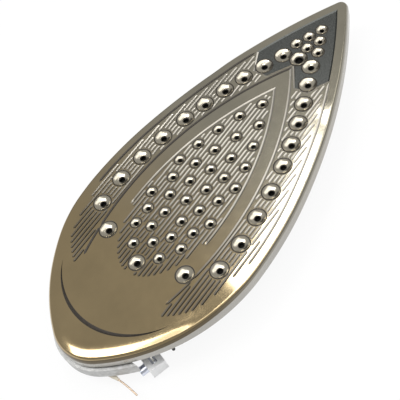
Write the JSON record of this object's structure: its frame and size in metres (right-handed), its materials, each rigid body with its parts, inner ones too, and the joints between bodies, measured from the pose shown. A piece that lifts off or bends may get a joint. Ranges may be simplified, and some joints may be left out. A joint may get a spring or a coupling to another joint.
{
  "type": "iron soleplate",
  "caption": "Steam iron soleplate lying face up: coated sheet with dished steam vents and fine lines on a cast heater body with element, steam chamber and fuse.",
  "frame": {"origin": "centre of the plan box, in the plane of the boss ends that the part rests on", "axes": "+X to the tip, +Y to the left side seen with the heel near, +Z out of the ironing face"},
  "size_m": [0.235, 0.1058, 0.026],
  "materials": {
    "coated_sheet": "satin",
    "cast_aluminium": "satin",
    "element_tube": "satin",
    "white_bead": "matte",
    "plated_steel": "satin",
    "plated_brass": "satin",
    "terminal_steel": "satin",
    "clear_plastic": "gloss",
    "seal_rubber": "matte",
    "cover_steel": "satin",
    "screw_steel": "satin",
    "fuse_metal": "satin",
    "pale_resin": "matte",
    "copper_wire": "satin",
    "spring_steel": "satin",
    "black_steel": "satin"
  },
  "bodies": {
    "root": {"soleplate_skin": "coated_sheet", "heater_casting": "cast_aluminium", "heating_element": "element_tube", "element_bead_left": "white_bead", "element_bead_right": "white_bead", "terminal_pin_left": "plated_steel", "terminal_pin_right": "plated_steel", "spade_tab_left": "plated_brass", "spade_tab_right": "plated_brass", "connector_terminal": "terminal_steel", "connector_housing": "clear_plastic", "chamber_seal": "seal_rubber", "steam_cover": "cover_steel", "cover_screws": "screw_steel", "inlet_grommet": "seal_rubber", "fuse_case": "fuse_metal", "fuse_seal": "pale_resin", "fuse_lead": "copper_wire", "fuse_lead_far": "copper_wire", "fuse_clip": "spring_steel", "fuse_clip_screw": "screw_steel", "earth_tab": "plated_brass", "earth_screw": "screw_steel", "locating_studs": "black_steel"}
  },
  "joints": []
}
